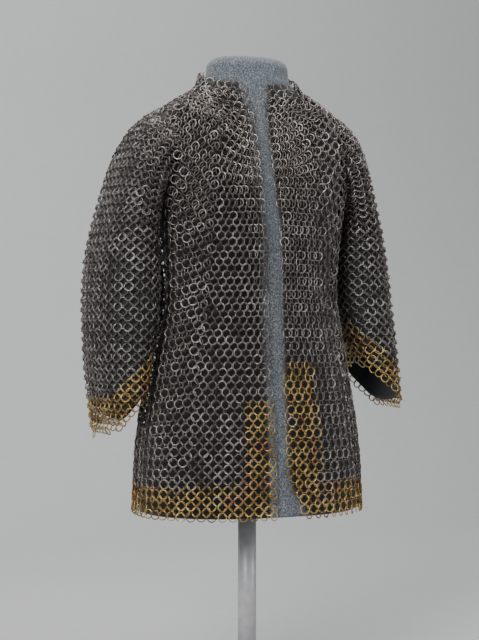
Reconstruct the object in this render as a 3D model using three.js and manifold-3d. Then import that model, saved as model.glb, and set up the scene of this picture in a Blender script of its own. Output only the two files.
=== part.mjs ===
// Chainmail hauberk, open down the front, on a felt-covered dress form with a pole and a round base.
// Units are millimetres. +Z is up, the front faces -Y, the wearer's left is +X, and the origin is
// at the middle of the underside of the base. Heights in the tables are measured from the hem.
import * as THREE from 'three';
import { mergeVertices } from 'three/addons/utils/BufferGeometryUtils.js';
import Module from 'manifold-3d';

const wasm = await Module();
wasm.setup();

// ---------------------------------------------------------------- driving dimensions
const HEM_HEIGHT = 300;        // hem above the underside of the base
const MAIL = 5;                // thickness of the woven rings, which lean across the cloth
const GAP = 0.3;               // between pieces that meet at a seam
const ARMHOLE_X = 152;         // plane where the sleeve leaves the body
const ARMPIT = 552;            // height of the lowest point of the armhole
const LINING = 1.5;            // cloth inside the sleeves
const LINING_CLEAR = 0.8;      // from the inner face of the mail to the lining
const LINING_FROM = 2;          // sleeve section where the lining starts
const LINING_SHORT = 13;       // the lining stops this far above the cuff edge
const FORM_CLEAR = 10;         // from the middle of the mail to the felt
const FORM_BOTTOM = 4;         // underside of the form above the hem
const HEM_BORDER = 72;         // height of the brass border along the hem
const CUFF_BORDER = 58;        // height of the brass border above the cuff edge
const POLE_RADIUS = 15.5;
const BASE_RADIUS = 160;
const BASE_THICKNESS = 12;
const SIDES_BODY = 32;         // facets round the body
const SIDES_SLEEVE = 20;       // facets round a sleeve

// Half width, depth to the front, depth to the back and squareness of the body at each height.
// The shoulders are the rows where the width falls away to the neck.
const BODY = [
  { height: -30, width: 199, front: 155, back: 133, power: 2.3 },
  { height: 0, width: 196, front: 151, back: 130, power: 2.3 },
  { height: 120, width: 189, front: 141, back: 123, power: 2.3 },
  { height: 240, width: 171, front: 128, back: 114, power: 2.3 },
  { height: 357, width: 151, front: 118, back: 105, power: 2.3 },
  { height: 450, width: 155, front: 118, back: 108, power: 2.4 },
  { height: 520, width: 165, front: 113, back: 112, power: 2.6 },
  { height: 575, width: 171, front: 102, back: 110, power: 2.9 },
  { height: 620, width: 170, front: 88, back: 102, power: 3.0 },
  { height: 650, width: 163, front: 76, back: 93, power: 2.9 },
  { height: 674, width: 148, front: 69, back: 84, power: 2.7 },
  { height: 692, width: 124, front: 65, back: 76, power: 2.4 },
  { height: 706, width: 100, front: 62, back: 69, power: 2.2 },
  { height: 720, width: 86, front: 60, back: 65, power: 2.2 },
  { height: 745, width: 81, front: 58, back: 62, power: 2.2 },
  { height: 800, width: 80, front: 58, back: 61, power: 2.2 },
];

// Each sleeve section runs from a point on the outer line to one on the inner line, which turns
// about the armpit at the top. middle is its centre in Y and depth its half size in Y.
const SLEEVE = [
  { station: 0, outX: 126, outZ: 682, inX: 128, inZ: 560, middle: 4, depth: 52 },
  { station: 1, outX: 153, outZ: 673, inX: 152, inZ: 552, middle: 4, depth: 64 },
  { station: 2, outX: 184, outZ: 650, inX: 160, inZ: 544, middle: 8, depth: 74 },
  { station: 3, outX: 206, outZ: 616, inX: 165, inZ: 538, middle: 13, depth: 80 },
  { station: 4, outX: 222, outZ: 573, inX: 167, inZ: 528, middle: 18, depth: 84 },
  { station: 5, outX: 236, outZ: 528, inX: 168, inZ: 508, middle: 22, depth: 85 },
  { station: 6, outX: 250, outZ: 482, inX: 167, inZ: 478, middle: 25, depth: 85 },
  { station: 7, outX: 262, outZ: 428, inX: 164, inZ: 430, middle: 28, depth: 85 },
  { station: 8, outX: 267, outZ: 368, inX: 161, inZ: 372, middle: 30, depth: 85 },
  { station: 9, outX: 266, outZ: 306, inX: 166, inZ: 306, middle: 30, depth: 85 },
  { station: 10, outX: 262, outZ: 250, inX: 178, inZ: 250, middle: 30, depth: 84 },
  { station: 11, outX: 256, outZ: 200, inX: 187, inZ: 200, middle: 30, depth: 82 },
  { station: 12, outX: 248, outZ: 145, inX: 194, inZ: 145, middle: 30, depth: 80 },
  { station: 13, outX: 240, outZ: 85, inX: 197, inZ: 85, middle: 30, depth: 79 },
];
const SLEEVE_POWER = 2.5;      // squareness of a sleeve section
const SLEEVE_LEAN = 0.12;      // the front of each section sits this much nearer the body per mm
const FLARE_FROM = 450;        // the left sleeve swings out below this height
const FLARE_SPAN = 285;
const FLARE_CURVE = 1.6;

// The two sleeves: which side, how far the sleeve swings out, and its oblique cuff edge, which
// falls by slope for each mm away from the body, from the height at the distance given.
const ARMS = [
  { name: 'right', side: -1, flare: 0, cuffAt: 184, cuffHeight: 200, slope: 1.05 },
  { name: 'left', side: 1, flare: 42, cuffAt: 187, cuffHeight: 258, slope: 0.85 },
];

// Edges of the front opening: X of the right front's edge and of the left front's edge.
// The left front's lowest corner is cut away.
const OPENING = [
  { height: -40, right: -3, left: 92 },
  { height: 0, right: -3, left: 50 },
  { height: 28, right: -3, left: 28 },
  { height: 60, right: -3, left: 13 },
  { height: 110, right: -3, left: 10 },
  { height: 357, right: -4, left: 10 },
  { height: 480, right: -5, left: 8 },
  { height: 560, right: -10, left: 0 },
  { height: 640, right: -12, left: 0 },
  { height: 672, right: -20, left: 5 },
  { height: 790, right: -22, left: 6 },
];
const FRONT_BORDERS = { right: { inner: -41, top: 202 }, left: { inner: 52, top: 262 } };

// The collar is what stands inside this upright oval; its top edge rises from front to back.
const COLLAR = { width: 93, front: 69, back: 74, bottom: 640, topMiddle: 737, topSlope: 0.33 };

const STEEL = new THREE.MeshStandardMaterial({ color: 0x6a6460, roughness: 0.42, metalness: 0.9 });
const BRASS = new THREE.MeshStandardMaterial({ color: 0x9c7d3c, roughness: 0.4, metalness: 0.9 });
const CLOTH = new THREE.MeshStandardMaterial({ color: 0x1c2026, roughness: 0.9, metalness: 0 });
const FELT = new THREE.MeshStandardMaterial({ color: 0x727d88, roughness: 0.95, metalness: 0 });
const PAINT = new THREE.MeshStandardMaterial({ color: 0xb4b4b6, roughness: 0.45, metalness: 0.2 });

// ---------------------------------------------------------------- surfaces
// Smooth value of one column of a table, read along its key column.
function read(table, key, column, at) {
  let i = 1;
  while (i < table.length - 2 && table[i + 1][key] < at) i += 1;
  const lower = table[i];
  const upper = table[i + 1];
  const before = table[i - 1];
  const after = table[Math.min(i + 2, table.length - 1)];
  const span = upper[key] - lower[key];
  const t = (at - lower[key]) / span;
  const slopeIn = ((upper[column] - before[column]) / (upper[key] - before[key])) * span;
  const slopeOut = after === upper
    ? upper[column] - lower[column]
    : ((after[column] - lower[column]) / (after[key] - lower[key])) * span;
  const t2 = t * t;
  const t3 = t2 * t;
  return (2 * t3 - 3 * t2 + 1) * lower[column] + (t3 - 2 * t2 + t) * slopeIn
    + (3 * t2 - 2 * t3) * upper[column] + (t3 - t2) * slopeOut;
}

const squared = (value, power) => Math.sign(value) * Math.abs(value) ** (2 / power);

// Point on the middle of the body's mail. angle 0 is the wearer's left side, 90 degrees the back.
function bodyPoint(height, angle) {
  const row = (column) => read(BODY, 'height', column, height);
  const power = row('power');
  const depth = Math.sin(angle) < 0 ? row('front') : row('back');
  return new THREE.Vector3(
    row('width') * squared(Math.cos(angle), power),
    depth * squared(Math.sin(angle), power),
    height,
  );
}

// Point on the middle of a sleeve's mail. angle 0 is the outer line and 180 degrees the inner one.
function sleevePoint(arm, station, angle) {
  const row = (column) => read(SLEEVE, 'station', column, station);
  const along = (squared(Math.cos(angle), SLEEVE_POWER) + 1) / 2;
  const back = row('depth') * squared(Math.sin(angle), SLEEVE_POWER);
  const z = row('inZ') + (row('outZ') - row('inZ')) * along;
  const drop = Math.max(FLARE_FROM - z, 0) / FLARE_SPAN;
  const x = row('inX') + (row('outX') - row('inX')) * along
    + SLEEVE_LEAN * back + arm.flare * drop ** FLARE_CURVE;
  return new THREE.Vector3(arm.side * x, row('middle') + back, z);
}

// A point moved out from the surface by an amount, along the surface's own normal.
function moveOut(surface, s, angle, amount) {
  const step = 0.01;
  const along = surface(s + step, angle).sub(surface(s - step, angle));
  const around = surface(s, angle + step).sub(surface(s, angle - step));
  const normal = around.cross(along).normalize();
  const middle = surface(s, angle + Math.PI);
  const point = surface(s, angle);
  if (normal.dot(point.clone().sub(middle)) < 0) normal.negate();
  return point.addScaledVector(normal, amount);
}

// ---------------------------------------------------------------- solids
function toSolid(geometry) {
  geometry.deleteAttribute('normal');
  geometry.deleteAttribute('uv');
  const merged = mergeVertices(geometry, 1e-4);
  const mesh = new wasm.Mesh({
    numProp: 3,
    vertProperties: new Float32Array(merged.attributes.position.array),
    triVerts: new Uint32Array(merged.index.array),
  });
  return new wasm.Manifold(mesh);
}

// Closed solid through rings of points, with a flat fan at each end.
function loft(rings) {
  const sides = rings[0].length;
  const points = rings.flat();
  const faces = [];
  for (let r = 0; r < rings.length - 1; r += 1) {
    for (let k = 0; k < sides; k += 1) {
      const a = r * sides + k;
      const b = r * sides + ((k + 1) % sides);
      faces.push(a, b, b + sides, a, b + sides, a + sides);
    }
  }
  for (const end of [0, rings.length - 1]) {
    const hub = points.length;
    const middle = new THREE.Vector3();
    rings[end].forEach((p) => middle.addScaledVector(p, 1 / sides));
    points.push(middle);
    for (let k = 0; k < sides; k += 1) {
      const a = end * sides + k;
      const b = end * sides + ((k + 1) % sides);
      if (end === 0) faces.push(hub, b, a);
      else faces.push(hub, a, b);
    }
  }
  const geometry = new THREE.BufferGeometry().setFromPoints(points);
  geometry.setIndex(faces);
  const solid = toSolid(geometry);
  if (solid.volume() > 0) return solid;
  for (let i = 0; i < faces.length; i += 3) [faces[i], faces[i + 1]] = [faces[i + 1], faces[i]];
  geometry.setIndex(faces);
  return toSolid(geometry);
}

// The body's form out to an offset from the middle of the mail, between the heights of its rows.
function bodySolid(offset, bottom, top) {
  const heights = [bottom, 110, 210, 300, 370, 440, 500, 550, 590, 625, 652, 675, 692, 707, 725, top];
  return loft(heights.map((height) => ring(bodyPoint, height, offset, SIDES_BODY)));
}

function sleeveSolid(arm, offset, first) {
  const stations = [0, 1, 1.5, 2, 2.5, 3, 4, 5, 6, 7, 8.5, 10, 11.5, 12.9].filter((s) => s >= first);
  const surface = (station, angle) => sleevePoint(arm, station, angle);
  return loft(stations.map((station) => ring(surface, station, offset, SIDES_SLEEVE)));
}

function ring(surface, s, offset, sides) {
  return Array.from({ length: sides }, (_, k) => (
    moveOut(surface, s, ((k + 0.5) / sides) * 2 * Math.PI, offset)
  ));
}

function block(x0, x1, y0, y1, z0, z1) {
  const geometry = new THREE.BoxGeometry(x1 - x0, y1 - y0, z1 - z0);
  geometry.translate((x0 + x1) / 2, (y0 + y1) / 2, (z0 + z1) / 2);
  return toSolid(geometry);
}

// Outline in X and Z, drawn through from y0 to y1.
function frontPrism(outline, y0, y1) {
  const shape = new THREE.Shape(outline.map(([x, z]) => new THREE.Vector2(x, z)));
  const geometry = new THREE.ExtrudeGeometry(shape, { depth: y1 - y0, bevelEnabled: false });
  geometry.rotateX(Math.PI / 2);
  geometry.translate(0, y1, 0);
  return toSolid(geometry);
}

// Everything above the oblique line of a cuff, raised by an amount.
function aboveCuff(arm, raise) {
  const line = (x) => arm.cuffHeight + raise - arm.slope * (x - arm.cuffAt);
  const outline = [[100, line(100)], [360, line(360)], [360, 900], [100, 900]];
  return frontPrism(outline.map(([x, z]) => [arm.side * x, z]), -300, 300);
}

function largest(solid) {
  return solid.decompose().sort((a, b) => b.volume() - a.volume())[0];
}

const group = new THREE.Group();
group.position.z = HEM_HEIGHT;

function addNode(name, solid, material) {
  const { vertProperties, triVerts } = largest(solid).getMesh();
  const geometry = new THREE.BufferGeometry();
  geometry.setAttribute('position', new THREE.BufferAttribute(new Float32Array(vertProperties), 3));
  geometry.setIndex(Array.from(triVerts));
  geometry.computeVertexNormals();
  const mesh = new THREE.Mesh(geometry, material);
  mesh.name = name;
  group.add(mesh);
}

// ---------------------------------------------------------------- the mail as one hollow shell
const LOW = -30;
const HIGH = 790;
const WIDE = 400;
let outside = bodySolid(MAIL / 2, LOW, HIGH);
let inside = bodySolid(-MAIL / 2, LOW, HIGH);
for (const arm of ARMS) {
  outside = outside.add(sleeveSolid(arm, MAIL / 2, 0));
  inside = inside.add(sleeveSolid(arm, -MAIL / 2, 0));
}
const shell = outside.subtract(inside);

// The part of space that belongs to the body: inside the side walls up to the armpit, and between
// the two armhole planes above it.
function bodySpace(grow) {
  const below = bodySolid(MAIL / 2 + 0.8 + grow, LOW, HIGH)
    .subtract(block(-WIDE, WIDE, -WIDE, WIDE, ARMPIT + grow, 900));
  return below.add(block(-ARMHOLE_X - grow, ARMHOLE_X + grow, -WIDE, WIDE, ARMPIT - 1, 900));
}
let body = shell.intersect(bodySpace(0)).subtract(block(-WIDE, WIDE, -WIDE, WIDE, -100, 0));
const sleeves = shell.subtract(bodySpace(GAP));

// ---------------------------------------------------------------- collar
const outlineTop = (y) => COLLAR.topMiddle + COLLAR.topSlope * y;
const aboveCollar = frontPrism([[-200, 0], [200, 0], [200, 300], [-200, 300]], -WIDE, WIDE)
  .rotate([THREE.MathUtils.radToDeg(Math.atan(COLLAR.topSlope)), 0, 0])
  .translate([0, 0, outlineTop(0)]);
body = body.subtract(aboveCollar);

function collarSpace(grow) {
  const oval = (angle) => new THREE.Vector3(
    (COLLAR.width + grow) * squared(Math.cos(angle), 2.2),
    ((Math.sin(angle) < 0 ? COLLAR.front : COLLAR.back) + grow) * squared(Math.sin(angle), 2.2),
    0,
  );
  const base = Array.from({ length: SIDES_BODY }, (_, k) => oval((k / SIDES_BODY) * 2 * Math.PI));
  const lift = (z) => base.map((p) => new THREE.Vector3(p.x, p.y, z));
  return loft([lift(COLLAR.bottom), lift(900)]);
}

// ---------------------------------------------------------------- front opening
const openingEdge = [
  ...OPENING.map((row) => [row.left, row.height]),
  ...OPENING.map((row) => [row.right, row.height]).reverse(),
];
body = body.subtract(frontPrism(openingEdge, -WIDE, -20));

const neckOval = collarSpace(0);
addNode('collar', body.intersect(neckOval), STEEL);
body = body.subtract(collarSpace(GAP));

// ---------------------------------------------------------------- fronts, back and brass borders
// Splits a panel into its brass hem border and the mail above it.
function splitHem(panel) {
  return {
    border: panel.intersect(block(-WIDE, WIDE, -WIDE, WIDE, -1, HEM_BORDER)),
    upper: panel.subtract(block(-WIDE, WIDE, -WIDE, WIDE, -1, HEM_BORDER + GAP)),
  };
}

const back = splitHem(body.intersect(block(-WIDE, WIDE, GAP / 2, WIDE, -1, 900)));
addNode('back', back.upper, STEEL);
addNode('hem_border_back', back.border, BRASS);

for (const arm of ARMS) {
  const { inner, top } = FRONT_BORDERS[arm.name];
  const half = arm.side < 0 ? [-WIDE, 2] : [2, WIDE];
  const front = splitHem(body.intersect(block(half[0], half[1], -WIDE, -GAP / 2, -1, 900)));
  const edge = (grow) => block(
    arm.side < 0 ? inner - grow : -1,
    arm.side < 0 ? 3 : inner + grow,
    -WIDE, 0, HEM_BORDER - 1, top + grow,
  );
  addNode(`front_${arm.name}`, front.upper.subtract(edge(GAP)), STEEL);
  addNode(`front_border_${arm.name}`, front.upper.intersect(edge(0)), BRASS);
  addNode(`hem_border_${arm.name}`, front.border, BRASS);
}

// ---------------------------------------------------------------- sleeves, cuffs and linings
for (const arm of ARMS) {
  const reach = arm.side < 0 ? [-WIDE, 0] : [0, WIDE];
  const sleeve = sleeves.intersect(block(reach[0], reach[1], -WIDE, WIDE, 0, 900));
  addNode(`sleeve_${arm.name}`, sleeve.intersect(aboveCuff(arm, CUFF_BORDER + GAP)), STEEL);
  addNode(
    `cuff_border_${arm.name}`,
    sleeve.intersect(aboveCuff(arm, 0)).subtract(aboveCuff(arm, CUFF_BORDER)),
    BRASS,
  );
  const face = -MAIL / 2 - LINING_CLEAR;
  const lining = sleeveSolid(arm, face, LINING_FROM)
    .subtract(sleeveSolid(arm, face - LINING, LINING_FROM - 0.5))
    .intersect(aboveCuff(arm, LINING_SHORT));
  addNode(`sleeve_lining_${arm.name}`, lining, CLOTH);
}

// ---------------------------------------------------------------- dress form, pole and base
// The felt follows the body inside the mail and closes over the neck with a rounded edge.
const FORM = [
  { height: FORM_BOTTOM, inset: 0 }, { height: 110, inset: 0 }, { height: 210, inset: 0 },
  { height: 300, inset: 0 }, { height: 370, inset: 0 }, { height: 440, inset: 0 },
  { height: 500, inset: 0 }, { height: 550, inset: 0 }, { height: 590, inset: 0 },
  { height: 625, inset: 0 }, { height: 652, inset: 0 }, { height: 675, inset: 0 },
  { height: 692, inset: 0 }, { height: 707, inset: 0 }, { height: 725, inset: 0 },
  { height: 748, inset: 0 }, { height: 758, inset: 4 }, { height: 766, inset: 16 },
];
const form = loft(FORM.map(({ height, inset }) => (
  ring(bodyPoint, height, -FORM_CLEAR - inset, SIDES_BODY)
)));
addNode('dress_form', form.subtract(block(-WIDE, WIDE, -WIDE, WIDE, -100, FORM_BOTTOM)), FELT);

function disc(name, radius, bottom, top, sides, material) {
  const geometry = new THREE.CylinderGeometry(radius, radius, top - bottom, sides);
  geometry.rotateX(Math.PI / 2);
  const mesh = new THREE.Mesh(geometry, material);
  mesh.position.z = (bottom + top) / 2;
  mesh.name = name;
  group.add(mesh);
}
disc('pole', POLE_RADIUS, BASE_THICKNESS + GAP - HEM_HEIGHT, FORM_BOTTOM - GAP, 32, PAINT);
disc('base', BASE_RADIUS, -HEM_HEIGHT, BASE_THICKNESS - HEM_HEIGHT, 48, PAINT);

export default group;
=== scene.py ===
"""Looks of a chainmail hauberk on a felt-clad dress form: woven rings, lining, felt, pole and studio."""
import math

import bpy
import numpy as np
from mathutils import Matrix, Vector


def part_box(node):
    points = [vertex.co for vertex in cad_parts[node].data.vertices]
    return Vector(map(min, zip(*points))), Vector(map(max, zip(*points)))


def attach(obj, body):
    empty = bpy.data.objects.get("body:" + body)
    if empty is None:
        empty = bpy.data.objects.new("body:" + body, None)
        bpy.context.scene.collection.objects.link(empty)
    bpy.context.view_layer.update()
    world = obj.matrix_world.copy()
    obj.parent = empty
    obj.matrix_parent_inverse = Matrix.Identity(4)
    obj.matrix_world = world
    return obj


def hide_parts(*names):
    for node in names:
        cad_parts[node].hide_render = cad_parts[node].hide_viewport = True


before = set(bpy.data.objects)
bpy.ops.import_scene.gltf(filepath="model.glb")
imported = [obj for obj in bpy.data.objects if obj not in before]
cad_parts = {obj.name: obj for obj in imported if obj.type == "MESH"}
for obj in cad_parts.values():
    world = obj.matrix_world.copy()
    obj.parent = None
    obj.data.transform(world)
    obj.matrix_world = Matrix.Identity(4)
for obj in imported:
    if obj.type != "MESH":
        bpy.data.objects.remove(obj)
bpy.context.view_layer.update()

# ------------------------------------------------------------------ sizes, in millimetres
MM = 0.001
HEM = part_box("hem_border_back")[0][2] / MM       # height of the hem above the floor
RING_RADIUS = 7.3          # to the middle of the wire
WIRE_WIDTH = 1.15          # half the width of the flattened wire, in the ring's plane
WIRE_DEPTH = 0.85          # half its thickness
RING_REACH = RING_RADIUS + WIRE_WIDTH
RING_STEPS = 12            # straight stretches round a ring
WIRE_SIDES = 4
LAP_SWELL = 1.4            # the riveted lap is this much thicker than the wire

COLUMNS = 32               # columns of rings from the opening, or the centre back, to the side
RIDGE_COUNT = 37.25        # ring steps along a column from the hem to the shoulder line
NECK_COUNT = 39            # ring steps from the hem to the collar's top edge
ARMHOLE_X = 152            # where the sleeves leave the body, as in the frame
ARMPIT = 552
CHEST = 600                # height where the columns' places on the chest are set
FIRST_X = 2.4              # a first column beside the middle would lie here on the chest
EDGE_COLUMNS = 16          # the opening's edge pushes this many columns aside on the chest
YOKE_X = 165               # the outermost columns reach this far out on the chest
BACK_YOKE = ([0, 17, COLUMNS + 0.5], [0, 84.96, YOKE_X])      # columns from the middle, their X
NECK_X = 84                # columns inside this climb the collar
NECK_END = 775             # they are laid out up to here, and cut at the collar's top
SHOULDER_SPAN = (600, 718) # heights between which the body narrows over the shoulders
CORNER_TOP = 110           # the left front's lower corner is cut away below this
SLEEVE_AROUND = 25         # rings round a sleeve
ROW_SPACE = (6.2, 8.15)    # between a sleeve's rows, at the shoulder and down the arm
LEAN_SPACING = (3, 4.8, 6.5, 8.2)                # crowded columns of rings stand up more:
LEAN_DEGREES = (48, 36, 27, 20)                  # the lean at each spacing

HEM_ROWS = 2.75            # ring steps of brass above the hem
FRONT_BORDERS = {-1: (6, 190), 1: (8, 250)}      # side: columns of brass, height of their top
COLLAR = {"width": 93, "front": 69, "back": 74, "bottom": 640, "top": 737, "slope": 0.33}
FORM_INSET = 10            # the felt lies this far inside the middle of the mail
DOME = {"from": 748, "rise": 18, "inset": 20}    # rounded top of the form's neck


def table(names, *rows):
    """Short table with named columns; the first column is the one it is read along."""
    columns = np.array(rows, dtype=float).T
    return dict(zip(names.split(), columns), key=columns[0])


# Half width, depth to the front, depth to the back and squareness of the body at each height.
BODY = table(
    "height width front back power",
    (-30, 199, 155, 133, 2.3),
    (0, 196, 151, 130, 2.3),
    (120, 189, 141, 123, 2.3),
    (240, 171, 128, 114, 2.3),
    (357, 151, 118, 105, 2.3),
    (450, 155, 118, 108, 2.4),
    (520, 165, 113, 112, 2.6),
    (575, 171, 102, 110, 2.9),
    (620, 170, 88, 102, 3.0),
    (650, 163, 76, 93, 2.9),
    (674, 148, 69, 84, 2.7),
    (692, 124, 65, 76, 2.4),
    (706, 100, 62, 69, 2.2),
    (720, 86, 60, 65, 2.2),
    (745, 81, 58, 62, 2.2),
    (800, 80, 58, 61, 2.2),
)
# Each sleeve section runs from a point on the outer line to one on the inner line.
SLEEVE = table(
    "station outX outZ inX inZ middle depth",
    (0, 126, 682, 128, 560, 4, 52),
    (1, 153, 673, 152, 552, 4, 64),
    (2, 184, 650, 160, 544, 8, 74),
    (3, 206, 616, 165, 538, 13, 80),
    (4, 222, 573, 167, 528, 18, 84),
    (5, 236, 528, 168, 508, 22, 85),
    (6, 250, 482, 167, 478, 25, 85),
    (7, 262, 428, 164, 430, 28, 85),
    (8, 267, 368, 161, 372, 30, 85),
    (9, 266, 306, 166, 306, 30, 85),
    (10, 262, 250, 178, 250, 30, 84),
    (11, 256, 200, 187, 200, 30, 82),
    (12, 248, 145, 194, 145, 30, 80),
    (13, 240, 85, 197, 85, 30, 79),
)
SLEEVE_POWER = 2.5
SLEEVE_LEAN = 0.12
FLARE_FROM, FLARE_SPAN, FLARE_CURVE = 450, 285, 1.6
ARMS = {
    -1: {"name": "right", "flare": 0, "cuff_at": 184, "cuff_height": 200, "slope": 1.05,
         "border": 66},
    1: {"name": "left", "flare": 42, "cuff_at": 187, "cuff_height": 258, "slope": 0.85,
        "border": 50},
}
# Edges of the front opening: X of the right front's edge and of the left front's edge.
OPENING = table(
    "height right left",
    (-40, -3, 92),
    (0, -3, 50),
    (28, -3, 28),
    (60, -3, 13),
    (110, -3, 10),
    (357, -4, 10),
    (480, -5, 8),
    (560, -10, 0),
    (640, -12, 0),
    (672, -20, 5),
    (790, -22, 6),
)
# Distance between rings of one column, and how the columns crowd towards the front and back.
WEAVE = table(
    "height pitch crowding",
    (-30, 16.3, 1.0),
    (0, 16.3, 1.0),
    (60, 16.4, 1.0),
    (130, 18.0, 1.02),
    (200, 20.0, 1.03),
    (357, 20.6, 1.14),
    (480, 20.4, 1.28),
    (620, 20.0, 1.3),
    (720, 17.5, 1.15),
    (800, 16.0, 1.15),
)
rng = np.random.default_rng(7)


# ------------------------------------------------------------------ surfaces
def read(source, column, at):
    """Smooth value of one column of a table, at one place or an array of places."""
    key, value = source["key"], source[column]
    at = np.asarray(at, dtype=float)
    last = len(key) - 1
    i = np.clip(np.searchsorted(key, at) - 1, 1, last - 1)
    after = np.minimum(i + 2, last)
    span = key[i + 1] - key[i]
    t = (at - key[i]) / span
    slope_in = (value[i + 1] - value[i - 1]) / (key[i + 1] - key[i - 1]) * span
    reach = np.where(after == i + 1, span, key[after] - key[i])
    slope_out = (value[after] - value[i]) / reach * span
    return ((2 * t**3 - 3 * t**2 + 1) * value[i] + (t**3 - 2 * t**2 + t) * slope_in
            + (3 * t**2 - 2 * t**3) * value[i + 1] + (t**3 - t**2) * slope_out)


def squared(value, power):
    return np.sign(value) * np.abs(value) ** (2 / power)


def body_point(height, angle):
    """Middle of the body's mail. angle 0 is the wearer's left side and 90 degrees the back."""
    power = read(BODY, "power", height)
    depth = np.where(np.sin(angle) < 0, read(BODY, "front", height), read(BODY, "back", height))
    x = read(BODY, "width", height) * squared(np.cos(angle), power)
    y = depth * squared(np.sin(angle), power)
    return np.stack(np.broadcast_arrays(x, y, height), axis=-1)


def sleeve_point(side, station, angle):
    """Middle of a sleeve's mail. angle 0 is the outer line and 180 degrees the inner one."""
    def row(column):
        return read(SLEEVE, column, station)
    along = (squared(np.cos(angle), SLEEVE_POWER) + 1) / 2
    back = row("depth") * squared(np.sin(angle), SLEEVE_POWER)
    z = row("inZ") + (row("outZ") - row("inZ")) * along
    drop = np.maximum(FLARE_FROM - z, 0) / FLARE_SPAN
    x = (row("inX") + (row("outX") - row("inX")) * along
         + SLEEVE_LEAN * back + ARMS[side]["flare"] * drop**FLARE_CURVE)
    return np.stack(np.broadcast_arrays(side * x, row("middle") + back, z), axis=-1)


def unit(vectors):
    return vectors / np.maximum(np.linalg.norm(vectors, axis=-1, keepdims=True), 1e-9)


def normal_of(surface, s, angle):
    """The surface's outward normal."""
    step = 0.01
    along = surface(s + step, angle) - surface(s - step, angle)
    around = surface(s, angle + step) - surface(s, angle - step)
    normal = unit(np.cross(around, along))
    outward = surface(s, angle) - surface(s, angle + np.pi)
    return normal * np.sign(np.sum(normal * outward, axis=-1, keepdims=True))


def smooth(low, high, at):
    t = np.clip((at - low) / (high - low), 0, 1)
    return t * t * (3 - 2 * t)


def path_lengths(points):
    """Distance from the first point, along each row of points."""
    steps = np.linalg.norm(np.diff(points, axis=-2), axis=-1)
    start = np.zeros(steps.shape[:-1] + (1,))
    return np.concatenate([start, np.cumsum(steps, axis=-1)], axis=-1)


def look_up(xs, ys, at):
    """Linear interpolation on each row: ys where the row's rising xs reach at."""
    i = np.clip(np.sum(xs < at[..., None], axis=-1), 1, xs.shape[-1] - 1)[..., None]
    x0, x1 = np.take_along_axis(xs, i - 1, -1)[..., 0], np.take_along_axis(xs, i, -1)[..., 0]
    y0, y1 = np.take_along_axis(ys, i - 1, -1)[..., 0], np.take_along_axis(ys, i, -1)[..., 0]
    t = np.clip((at - x0) / np.maximum(x1 - x0, 1e-9), 0, 1)
    return y0 + (y1 - y0) * t


# ------------------------------------------------------------------ where the rings lie
class Rings:
    """Rings gathered from every part of the weave: places, directions and what each belongs to."""

    def __init__(self):
        self.parts = []

    def add(self, place, normal, along, lean, spacing, **facts):
        count = len(place)
        columns = {key: np.broadcast_to(np.asarray(value), (count,)) for key, value in facts.items()}
        self.parts.append({
            "place": place, "normal": normal, "along": along,
            "lean": np.broadcast_to(lean, (count,)),
            "spacing": np.broadcast_to(spacing, (count,)), **columns,
        })

    def all(self):
        return {key: np.concatenate([p[key] for p in self.parts]) for key in self.parts[0]}


def quarter_angle(side, face, turn):
    """Body angle for a turn from the centre line (0) to the side (90 degrees)."""
    return np.arctan2(face * np.cos(turn), side * np.sin(turn))


def edge_reach(side, height):
    """Distance in X from the middle to the first column beside the opening."""
    return np.abs(read(OPENING, "left" if side > 0 else "right", height)) + RING_REACH


def column_places(side, face, k):
    """Each column's share of the way round to the side, and its X on the chest."""
    if face < 0:
        part = k / (COLUMNS - 0.5)
        pushed = np.maximum(0, 1 - k / EDGE_COLUMNS) * (edge_reach(side, CHEST) - FIRST_X)
        return part, FIRST_X + (YOKE_X - FIRST_X) * part + pushed
    return (k + 1) / (COLUMNS + 0.5), np.interp(k + 1, *BACK_YOKE)


def column_tops(yoke):
    """Which columns climb the collar, and the height where each column ends."""
    fine = np.linspace(*SHOULDER_SPAN, 500)
    widths = read(BODY, "width", fine)
    widest = np.argmax(widths)
    ridge = np.interp(-yoke[:, 0], -widths[widest:], fine[widest:])
    climbs = yoke[:, 0] < NECK_X
    return climbs, np.where(climbs, NECK_END, ridge)


def column_turns(side, face, height, part, yoke, climbs):
    """Turn from the centre line to each column, at each of its heights."""
    turns = np.linspace(0, np.pi / 2, 90)
    lengths = path_lengths(body_point(height[..., None], quarter_angle(side, face, turns)))
    whole = lengths[..., -1]
    turn_grid = np.broadcast_to(turns, lengths.shape)
    edge = edge_reach(side, np.maximum(height, CORNER_TOP)) if face < 0 else np.zeros_like(whole)
    spread = part ** read(WEAVE, "crowding", height)
    low = look_up(lengths, turn_grid, edge + (whole - edge) * spread)
    ratio = np.clip(yoke / read(BODY, "width", height), 0, 1)
    over_yoke = np.arcsin(ratio ** (read(BODY, "power", height) / 2))
    turn = low + (over_yoke - low) * smooth(430, 590, height)
    neck_part = np.clip(part / (part[climbs].max() + 0.5 / COLUMNS), 0, 1)
    neck = look_up(lengths, turn_grid, edge + (whole - edge) * neck_part)
    return np.where(climbs[:, None], turn + (neck - turn) * smooth(650, 708, height), turn)


def column_counts(path, height, climbs):
    """Ring steps from the hem, at each point of each column."""
    middle = (height[:, 1:] + height[:, :-1]) / 2
    steps = np.diff(path_lengths(path), axis=1) / read(WEAVE, "pitch", middle)
    count = np.concatenate([np.zeros((len(path), 1)), np.cumsum(steps, axis=1)], axis=1)
    scale = RIDGE_COUNT / count[:, -1]
    scale[climbs] = scale[np.argmax(~climbs)]
    count *= scale[:, None]
    # The neck's columns all end with a ring at the collar's top edge.
    below_top = path[..., 2] < collar_top(path[..., 1]) - RING_REACH
    last = np.sum(below_top, axis=1, keepdims=True) - 1
    added = (NECK_COUNT - np.take_along_axis(count, last, axis=1)) * smooth(520, 720, height)
    return np.where(climbs[:, None], count + added, count)


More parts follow.
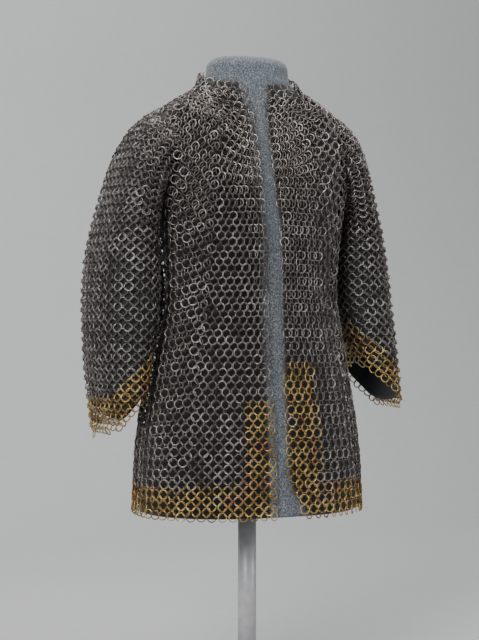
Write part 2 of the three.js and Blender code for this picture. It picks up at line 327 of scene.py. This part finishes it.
def along_path(at, keys, points):
    """Places on a path where its rising keys reach at."""
    return np.stack([np.interp(at, keys, points[:, c]) for c in range(3)], axis=-1)


def quarter_columns(rings, side, face):
    """Weaves one quarter of the body: face -1 is the front and 1 the back."""
    # The left back also has the column down the middle of the back.
    numbers = np.arange(-1 if (side, face) == (1, 1) else 0, COLUMNS)
    part, yoke = column_places(side, face, numbers[:, None])
    climbs, top = column_tops(yoke)
    u = np.linspace(0, 1, 260)[None, :]
    bend = np.where(climbs, 1.0, 2.5)[:, None]
    height = RING_REACH + (top[:, None] - RING_REACH) * (1 - (1 - u) ** bend)
    angle = quarter_angle(side, face, column_turns(side, face, height, part, yoke, climbs))
    path = body_point(height, angle)
    count = column_counts(path, height, climbs)
    for i, number in enumerate(numbers):
        odd = (number + (face > 0)) % 2
        at = np.arange(0.5 * odd, count[i, -1] + 1e-6, 1.0)
        h = np.interp(at, count[i], height[i])
        a = np.interp(at, count[i], np.unwrap(angle[i]))
        place = body_point(h, a)
        ahead = along_path(at + 0.2, count[i], path[i])
        behind = along_path(at - 0.2, count[i], path[i])
        neighbour = i + 1 if i < len(numbers) - 1 else i - 1
        beside = along_path(h, height[neighbour], path[neighbour])
        spacing = np.clip(np.linalg.norm(beside - place, axis=-1), 3, 9)
        lean = (1.0 - 2 * odd) * side * face
        rings.add(place, normal_of(body_point, h, a), unit(ahead - behind), lean, spacing,
                  side=side, face=face, column=number, step=at, sleeve=False, cuff=False)


def collar_top(y):
    return COLLAR["top"] + COLLAR["slope"] * y


def keep_body(r):
    """Which body rings the opening, the armholes and the collar's top leave."""
    x, y, z = r["place"].T
    keep = ~((np.abs(x) > ARMHOLE_X) & (z > ARMPIT))
    oval = collar_oval(x, y)
    in_collar = (oval < 1) & (z > COLLAR["bottom"])
    keep &= ~(in_collar & (z > collar_top(y) - RING_REACH + 2))
    left_cut = (r["side"] > 0) & (r["face"] < 0) & (z < CORNER_TOP)
    keep &= ~(left_cut & (x < read(OPENING, "left", z) + RING_RADIUS))
    return keep, in_collar


def collar_oval(x, y):
    depth = np.where(y < 0, COLLAR["front"], COLLAR["back"])
    return np.abs(x / COLLAR["width"]) ** 2.2 + np.abs(y / depth) ** 2.2


def over_cuff(side, place):
    """Height of a place above the oblique line of the cuff."""
    arm = ARMS[side]
    return place[..., 2] - arm["cuff_height"] + arm["slope"] * (side * place[..., 0] - arm["cuff_at"])


def sleeve_rows(rings, side):
    """Weaves one sleeve: rows of rings round the arm, fanned out over the shoulder."""
    arm = ARMS[side]

    def surface(station, angle):
        return sleeve_point(side, station, angle)

    stations = np.linspace(1, 13, 600)
    travelled = path_lengths(surface(stations, 0.0))
    fanned = smooth(1, 3.2, (stations[1:] + stations[:-1]) / 2)
    space = ROW_SPACE[0] + (ROW_SPACE[1] - ROW_SPACE[0]) * fanned
    count = np.concatenate([[0], np.cumsum(np.diff(travelled) / space)])
    first_column = int(np.ceil((ARMHOLE_X - FIRST_X) / (YOKE_X - FIRST_X) * (COLUMNS - 0.5)))
    angles = np.linspace(0, 2 * np.pi, 181)
    for row in range(math.ceil(count[-1] - 0.9)):
        station = np.interp(row + 0.9, count, stations)
        odd = (first_column + row) % 2
        lengths = path_lengths(surface(station, -angles))
        at = (np.arange(SLEEVE_AROUND) + 0.25 + 0.5 * odd) * lengths[-1] / SLEEVE_AROUND
        a = -np.interp(at, lengths, angles)
        place = surface(station, a)
        normal = normal_of(surface, station, a)
        along = unit(surface(station, a + 0.03) - surface(station, a - 0.03))
        step = np.linalg.norm(surface(station + 0.05, a) - place, axis=-1)
        rows_passed = np.interp(station + 0.05, stations, count) - np.interp(station, stations, count)
        spacing = np.clip(step / max(rows_passed, 1e-3), 2.5, 9)
        height = over_cuff(side, place)
        clear = height / math.hypot(1, arm["slope"]) > 1.0
        lean = (2 * odd - 1.0) * side
        rings.add(place[clear], normal[clear], along[clear], lean, spacing[clear],
                  side=side, face=0, column=row, step=row, sleeve=True,
                  cuff=(height < arm["border"])[clear])


def lean_direction(r):
    """Across the row, on the side that a ring with lean 1 lifts outwards: away from the centre."""
    across = unit(np.cross(r["normal"], r["along"]))
    out = np.zeros_like(r["place"])
    out[:, 0] = r["side"]
    body = ~r["sleeve"].astype(bool)
    # On the body away means towards the side; on the sleeve it means towards the cuff.
    down = np.where(body[:, None], out, out * 0.25 + np.array([0, 0, -1.0]))
    flip = np.sign(np.sum(across * down, axis=-1, keepdims=True))
    return across * np.where(flip == 0, 1, flip)


# ------------------------------------------------------------------ ring meshes
def ring_shape():
    """One ring in its own plane, with a thicker riveted lap. Returns points and quads."""
    turn = np.arange(RING_STEPS) / RING_STEPS * 2 * np.pi
    points = []
    for step, a in enumerate(turn):
        swell = LAP_SWELL if step == 0 else 1.0
        for b in (np.arange(WIRE_SIDES) + 0.5) / WIRE_SIDES * 2 * np.pi:
            reach = RING_RADIUS + WIRE_WIDTH * swell * math.cos(b)
            points.append((reach * math.cos(a), reach * math.sin(a), WIRE_DEPTH * swell * math.sin(b)))
    quads = []
    for step in range(RING_STEPS):
        for s in range(WIRE_SIDES):
            here, ahead = step * WIRE_SIDES, (step + 1) % RING_STEPS * WIRE_SIDES
            t = (s + 1) % WIRE_SIDES
            quads.append((here + s, ahead + s, ahead + t, here + t))
    return np.array(points), np.array(quads)


SHAPE_POINTS, SHAPE_QUADS = ring_shape()


def mesh_object(name, points, faces, material, smooth_faces=True):
    mesh = bpy.data.meshes.new(name)
    mesh.from_pydata(points, [], faces)
    mesh.polygons.foreach_set("use_smooth", np.full(len(mesh.polygons), smooth_faces))
    mesh.materials.append(material)
    mesh.update()
    obj = bpy.data.objects.new(name, mesh)
    bpy.context.scene.collection.objects.link(obj)
    return obj


def point_values(obj, name, values):
    """A value at each point of the mesh, for its material to read."""
    shade = obj.data.attributes.new(name, "FLOAT", "POINT")
    shade.data.foreach_set("value", values.astype(np.float32))


def ring_mesh(name, r, chosen, material):
    """Joins the chosen rings into one mesh, each turned to its place, with a tone of its own."""
    normal, away = r["normal"][chosen], r["away"][chosen]
    count = len(normal)
    tilt = np.radians(np.interp(r["spacing"][chosen], LEAN_SPACING, LEAN_DEGREES)) * r["lean"][chosen]
    tilt = tilt + rng.normal(0, np.radians(2.0), count)
    nod = rng.normal(0, np.radians(2.5), count)
    across = away * np.cos(tilt)[:, None] + normal * np.sin(tilt)[:, None]
    up = r["along"][chosen] * np.cos(nod)[:, None] + normal * np.sin(nod)[:, None]
    up = unit(up - across * np.sum(up * across, axis=-1, keepdims=True))
    facing = np.cross(up, across)
    spin = rng.uniform(0, 2 * np.pi, count)
    u = up * np.cos(spin)[:, None] + across * np.sin(spin)[:, None]
    v = np.cross(facing, u)
    centre = r["place"][chosen] + rng.normal(0, 0.25, (count, 3))
    size = 1 + rng.normal(0, 0.012, count)
    local = SHAPE_POINTS[None] * size[:, None, None]
    points = (centre[:, None] + local[..., :1] * u[:, None] + local[..., 1:2] * v[:, None]
              + local[..., 2:] * facing[:, None]).reshape(-1, 3)
    points[:, 2] += HEM
    starts = np.arange(count) * len(SHAPE_POINTS)
    faces = (SHAPE_QUADS[None] + starts[:, None, None]).reshape(-1, 4)
    obj = mesh_object(name, points * MM, faces.tolist(), material)
    tone = np.repeat(rng.uniform(0, 1, count), len(SHAPE_POINTS))
    point_values(obj, "tone", tone)
    return obj


# ------------------------------------------------------------------ materials
def new_material(name):
    material = bpy.data.materials.new(name)
    material.use_nodes = True
    nodes, links = material.node_tree.nodes, material.node_tree.links
    return material, nodes, links, nodes["Principled BSDF"]


def ramp(nodes, stops):
    node = nodes.new("ShaderNodeValToRGB")
    elements = node.color_ramp.elements
    while len(elements) < len(stops):
        elements.new(0.5)
    for element, (position, colour) in zip(elements, stops):
        element.position = position
        element.color = (*colour, 1)
    return node


def noise(nodes, links, scale, detail=2.0, roughness=0.5):
    place = nodes.new("ShaderNodeTexCoord")
    node = nodes.new("ShaderNodeTexNoise")
    node.inputs["Scale"].default_value = scale
    node.inputs["Detail"].default_value = detail
    node.inputs["Roughness"].default_value = roughness
    links.new(place.outputs["Object"], node.inputs["Vector"])
    return node


def attribute(nodes, name):
    node = nodes.new("ShaderNodeAttribute")
    node.attribute_name = name
    return node.outputs["Fac"]


def blended(nodes, links, factor, colour, other):
    """Colour output that goes from a colour to a constant one as the factor rises."""
    mix = nodes.new("ShaderNodeMix")
    mix.data_type = "RGBA"
    # A mix of colours reads inputs 6 and 7, and gives output 2.
    mix.inputs[7].default_value = (*other, 1)
    links.new(factor, mix.inputs[0])
    links.new(colour, mix.inputs[6])
    return mix.outputs[2]


def bumped(nodes, links, shader, height, strength, distance):
    """Fine relief on the shader, from the height output, its depth in metres."""
    bump = nodes.new("ShaderNodeBump")
    bump.inputs["Strength"].default_value = strength
    bump.inputs["Distance"].default_value = distance
    links.new(height, bump.inputs["Height"])
    links.new(bump.outputs["Normal"], shader.inputs["Normal"])


def ring_material(name, tones, stain, roughness):
    """Metal of the rings: a tone for each ring, and dark stain in patches."""
    material, nodes, links, shader = new_material(name)
    colours = ramp(nodes, tones)
    links.new(attribute(nodes, "tone"), colours.inputs["Fac"])
    patches = noise(nodes, links, 420, 3)
    amount = ramp(nodes, [(0.46, (0, 0, 0)), (0.7, (0.75, 0.75, 0.75))])
    links.new(patches.outputs["Fac"], amount.inputs["Fac"])
    stained = blended(nodes, links, amount.outputs["Color"], colours.outputs["Color"], stain)
    links.new(stained, shader.inputs["Base Color"])
    rough = nodes.new("ShaderNodeMapRange")
    rough.inputs["To Min"].default_value = roughness[0]
    rough.inputs["To Max"].default_value = roughness[1]
    links.new(patches.outputs["Fac"], rough.inputs["Value"])
    links.new(rough.outputs["Result"], shader.inputs["Roughness"])
    shader.inputs["Metallic"].default_value = 0.9
    bumped(nodes, links, shader, patches.outputs["Fac"], 0.25, 0.0003)
    return material


IRON = ring_material(
    "iron_rings",
    [(0.0, (0.10, 0.088, 0.08)), (0.45, (0.19, 0.17, 0.16)), (0.8, (0.30, 0.27, 0.25)),
     (1.0, (0.42, 0.39, 0.37))],
    (0.05, 0.035, 0.028), (0.28, 0.55))
BRASS = ring_material(
    "brass_rings",
    [(0.0, (0.13, 0.085, 0.04)), (0.3, (0.34, 0.22, 0.075)), (0.6, (0.52, 0.37, 0.12)),
     (0.85, (0.62, 0.47, 0.2)), (0.93, (0.42, 0.18, 0.09)), (1.0, (0.45, 0.42, 0.36))],
    (0.07, 0.045, 0.02), (0.25, 0.5))


def felt_material():
    material, nodes, links, shader = new_material("grey_felt")
    fibres = noise(nodes, links, 420, 4, 0.75)
    colours = ramp(nodes, [(0.36, (0.025, 0.035, 0.05)), (0.5, (0.09, 0.105, 0.125)),
                           (0.64, (0.27, 0.29, 0.30))])
    links.new(fibres.outputs["Fac"], colours.inputs["Fac"])
    # Painted shade: the felt is nearly black under the mail, where only its holes show it, in place of the
    # shadow the rings cast on it.
    painted_shade_under_mail = (0.010, 0.009, 0.009)
    shown = blended(nodes, links, attribute(nodes, "painted_mail_shade"), colours.outputs["Color"], painted_shade_under_mail)
    links.new(shown, shader.inputs["Base Color"])
    shader.inputs["Roughness"].default_value = 0.95
    shader.inputs["Sheen Weight"].default_value = 0.25
    shader.inputs["Sheen Roughness"].default_value = 0.5
    bumped(nodes, links, shader, fibres.outputs["Fac"], 0.5, 0.0008)
    return material


def cloth_material():
    material, nodes, links, shader = new_material("black_cloth")
    threads = noise(nodes, links, 700, 2)
    colours = ramp(nodes, [(0.3, (0.006, 0.008, 0.011)), (0.7, (0.013, 0.016, 0.02))])
    links.new(threads.outputs["Fac"], colours.inputs["Fac"])
    links.new(colours.outputs["Color"], shader.inputs["Base Color"])
    shader.inputs["Roughness"].default_value = 0.85
    shader.inputs["Sheen Weight"].default_value = 0.1
    bumped(nodes, links, shader, threads.outputs["Fac"], 0.2, 0.0004)
    return material


def paint_material():
    material, nodes, links, shader = new_material("painted_pole")
    fine = noise(nodes, links, 60, 2)
    colours = ramp(nodes, [(0.35, (0.42, 0.42, 0.43)), (0.65, (0.5, 0.5, 0.51))])
    links.new(fine.outputs["Fac"], colours.inputs["Fac"])
    links.new(colours.outputs["Color"], shader.inputs["Base Color"])
    shader.inputs["Roughness"].default_value = 0.4
    shader.inputs["Metallic"].default_value = 0.15
    return material


FELT = felt_material()
CLOTH = cloth_material()
PAINT = paint_material()


# ------------------------------------------------------------------ smooth solids
def tube_faces(rows, around):
    faces = []
    for r in range(rows - 1):
        for k in range(around):
            a, b = r * around + k, r * around + (k + 1) % around
            faces.append((a, b, b + around, a + around))
    return faces


def closed_faces(rows, around):
    """Faces of a tube with both ends capped."""
    last = (rows - 1) * around
    caps = [tuple(range(around))[::-1], tuple(range(last, last + around))]
    return tube_faces(rows, around) + caps


def finish_piece(obj, slot, *nodes):
    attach(obj, "root")
    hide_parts(*nodes)
    return obj


def dress_form():
    """Felt over the form: the body's shape inside the mail, closed over the neck, with painted shade where
    the mail covers it.
    """
    around, rings = 240, 150
    angles = (np.arange(around) + 0.5) / around * 2 * np.pi
    arc = np.linspace(0.1, np.pi / 2, 10)
    heights = np.concatenate([[4.2], np.linspace(7, DOME["from"], rings),
                              DOME["from"] + DOME["rise"] * np.sin(arc)])
    inset = np.concatenate([[1.5], np.zeros(rings), DOME["inset"] * (1 - np.cos(arc))])
    rows = []
    for height, extra in zip(heights, inset):
        row = body_point(height, angles)
        row = row - normal_of(body_point, height, angles) * (FORM_INSET + extra)
        row[:, 2] = height
        rows.append(row)
    points = np.concatenate(rows)
    x, y, z = points.T
    # Mask of painted shade: 1 under the mail, fading to 0 at the front opening's edges and above the
    # collar's top.
    past_left = x - read(OPENING, "left", z)
    past_right = read(OPENING, "right", z) - x
    across = np.where(y < 0, smooth(7, 15, np.maximum(past_left, past_right)), 1)
    painted_mail_shade = across * smooth(0, 8, collar_top(y) - z)
    points[:, 2] += HEM
    obj = mesh_object("dress_form_felt", points * MM, closed_faces(len(rows), around), FELT)
    point_values(obj, "painted_mail_shade", painted_mail_shade)
    return finish_piece(obj, "grey_felt", "dress_form")


def sleeve_lining(side):
    """Thin cloth tube inside a sleeve, ending just above the oblique cuff."""
    arm = ARMS[side]
    around, rows = 72, 70
    angles = (np.arange(around) + 0.5) / around * 2 * np.pi
    top_inset, thickness, short = 3.6, 1.3, 13
    sheet = []
    for depth in (top_inset, top_inset + thickness):
        stations = np.linspace(2.0, 12.9, 500)
        grid = sleeve_point(side, stations[:, None], angles[None, :])
        over = over_cuff(side, grid) - short
        if side < 0:
            # The right sleeve's lining ends level, higher than the cuff's outer side.
            over = np.minimum(over, grid[..., 2] - 163 - 0.15 * grid[..., 1])
        last = np.array([np.interp(0, -over[:, k], stations) for k in range(around)])
        t = np.linspace(0, 1, rows)[:, None]
        s = 2.0 + (last[None, :] - 2.0) * t
        a = np.broadcast_to(angles, s.shape)
        inward = normal_of(lambda p, q: sleeve_point(side, p, q), s, a) * depth
        layer = sleeve_point(side, s, a) - inward
        sheet.append(layer.reshape(-1, 3))
    points = np.concatenate(sheet)
    points[:, 2] += HEM
    outer = tube_faces(rows, around)
    size = rows * around
    inner = [tuple(v + size for v in face[::-1]) for face in outer]
    rims = []
    for base in (0, (rows - 1) * around):
        for k in range(around):
            a, b = base + k, base + (k + 1) % around
            rims.append((a, a + size, b + size, b) if base == 0 else (a, b, b + size, a + size))
    name = arm["name"]
    obj = mesh_object(f"lining_{name}", points * MM, outer + inner + rims, CLOTH)
    finish_piece(obj, "black_cloth", f"sleeve_lining_{name}")
    return obj


def turned(name, profile, around, node):
    """Round piece turned about Z from a profile of (radius, height above the floor)."""
    angles = np.arange(around) / around * 2 * np.pi
    rows = []
    for radius, height in profile:
        level = np.full(around, height)
        rows.append(np.stack([radius * np.cos(angles), radius * np.sin(angles), level], axis=-1))
    points = np.concatenate(rows) * MM
    obj = mesh_object(name, points, closed_faces(len(rows), around), PAINT)
    obj.data.polygons.foreach_set("use_smooth", [len(p.vertices) == 4 for p in obj.data.polygons])
    return finish_piece(obj, "painted_pole", node)


def stand():
    pole_low, pole_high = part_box("pole")[:2]
    radius = (pole_high[0] - pole_low[0]) / 2 / MM
    turned("pole_tube", [(radius, pole_low[2] / MM), (radius, pole_high[2] / MM)], 64, "pole")
    base_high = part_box("base")[1]
    edge, top = base_high[0] / MM, base_high[2] / MM
    rounded = [(edge, top - 2), (edge - 0.6, top - 0.6), (edge - 2, top)]
    turned("base_plate", [(edge - 1, 0), (edge, 1)] + rounded, 128, "base")


# ------------------------------------------------------------------ the mail
def weave_all():
    rings = Rings()
    for side in (-1, 1):
        for face in (-1, 1):
            quarter_columns(rings, side, face)
    body = rings.all()
    keep, in_collar = keep_body(body)
    body["collar"] = in_collar
    body = {key: value[keep] for key, value in body.items()}
    rings = Rings()
    for side in (-1, 1):
        sleeve_rows(rings, side)
    sleeves = rings.all()
    sleeves["collar"] = np.zeros(len(sleeves["place"]), dtype=bool)
    r = {key: np.concatenate([body[key], sleeves[key]]) for key in body}
    r["away"] = lean_direction(r)
    return r


def mail_piece(r, name, chosen, metal, node):
    """One piece of mail: its rings as a mesh."""
    material, slot = metal
    obj = ring_mesh(name, r, chosen, material)
    finish_piece(obj, slot, node)


def hauberk():
    iron, brass = (IRON, "iron_mail"), (BRASS, "brass_mail")
    r = weave_all()
    z = r["place"][:, 2]
    sleeve = r["sleeve"].astype(bool)
    panel = ~sleeve & ~r["collar"]
    low = r["step"] < HEM_ROWS
    mail_piece(r, "mail_collar", r["collar"] & ~sleeve, iron, "collar")
    for side, arm in ARMS.items():
        name = arm["name"]
        columns, top = FRONT_BORDERS[side]
        front = panel & (r["side"] == side) & (r["face"] < 0)
        back = panel & (r["side"] == side) & (r["face"] > 0)
        edge = (r["column"] < columns) & (z < top)
        on_arm = sleeve & (r["side"] == side)
        pieces = [
            ("front", front & ~low & ~edge, iron, f"front_{name}", (0.27, 0.7)),
            ("front_border", front & ~low & edge, brass, f"front_border_{name}", (0.07, 0.2)),
            ("hem", front & low, brass, f"hem_border_{name}", (0.27, 0.075)),
            ("back", back & ~low, iron, "back", (0.27, 0.7)),
            ("hem_back", back & low, brass, "hem_border_back", (0.27, 0.075)),
            ("sleeve", on_arm & ~r["cuff"], iron, f"sleeve_{name}", (0.48, 0.6)),
            ("cuff", on_arm & r["cuff"], brass, f"cuff_border_{name}", (0.48, 0.12)),
        ]
        for kind, chosen, metal, node, flat in pieces:
            mail_piece(r, f"mail_{kind}_{name}", chosen, metal, node)


# ------------------------------------------------------------------ studio
def backdrop():
    """Pale floor that sweeps up into a wall behind."""
    material, nodes, links, shader = new_material("backdrop_paper")
    grain = noise(nodes, links, 30, 2)
    colours = ramp(nodes, [(0.3, (0.50, 0.505, 0.505)), (0.7, (0.515, 0.52, 0.52))])
    links.new(grain.outputs["Fac"], colours.inputs["Fac"])
    links.new(colours.outputs["Color"], shader.inputs["Base Color"])
    shader.inputs["Roughness"].default_value = 1.0
    profile = [(-6.0, 0.0), (1.6, 0.0)]
    bend = 1.6
    for a in np.linspace(0, np.pi / 2, 24)[1:]:
        profile.append((1.6 + bend * math.sin(a), bend - bend * math.cos(a)))
    profile.append((3.2, 6.0))
    points, faces = [], []
    for x in (-7.0, 7.0):
        points += [(x, y, z - 0.001) for y, z in profile]
    count = len(profile)
    for i in range(count - 1):
        faces.append((i, i + count, i + count + 1, i + 1))
    obj = mesh_object("backdrop", points, faces, material)


def area_light(name, place, target, size, power, colour=(1, 1, 1)):
    light = bpy.data.lights.new(name, "AREA")
    light.shape = "RECTANGLE"
    light.size, light.size_y = size
    light.energy = power
    light.color = colour
    obj = bpy.data.objects.new(name, light)
    obj.location = place
    obj.rotation_euler = (Vector(target) - Vector(place)).to_track_quat("-Z", "Y").to_euler()
    bpy.context.scene.collection.objects.link(obj)


def studio():
    world = bpy.data.worlds.new("studio")
    world.use_nodes = True
    background = world.node_tree.nodes["Background"]
    background.inputs["Color"].default_value = (0.8, 0.82, 0.85, 1)
    background.inputs["Strength"].default_value = 0.35
    bpy.context.scene.world = world
    middle = (0, 0, 0.65)
    area_light("key_left", (-2.3, -2.2, 2.3), middle, (1.4, 1.8), 120, (1.0, 0.985, 0.96))
    area_light("fill_right", (2.6, -1.6, 1.2), middle, (1.2, 1.8), 28, (0.93, 0.96, 1.0))
    area_light("top", (0, -0.3, 2.9), middle, (1.6, 1.2), 35)
    area_light("wall_wash", (-0.5, 1.2, 3.4), (0.8, 3.2, 0.6), (3.5, 0.8), 60)


CAMERA_AZIMUTH = -21
CAMERA_DISTANCE = 2.5
CAMERA_HEIGHT = HEM * MM + 0.323
CAMERA_SIDE = 0.0128        # the form stands a little right of the picture's middle


def camera():
    data = bpy.data.cameras.new("camera")
    data.sensor_width = 36
    data.lens = 36 * CAMERA_DISTANCE / 1.088
    obj = bpy.data.objects.new("camera", data)
    a = math.radians(CAMERA_AZIMUTH)
    right = Vector((math.cos(a), math.sin(a), 0))
    forward = Vector((-math.sin(a), math.cos(a), 0))
    obj.location = -forward * CAMERA_DISTANCE - right * CAMERA_SIDE + Vector((0, 0, CAMERA_HEIGHT))
    obj.rotation_euler = (math.radians(90), 0, a)
    bpy.context.scene.collection.objects.link(obj)
    bpy.context.scene.camera = obj


camera()
dress_form()
stand()
for arm_side in ARMS:
    sleeve_lining(arm_side)
hauberk()
backdrop()
studio()
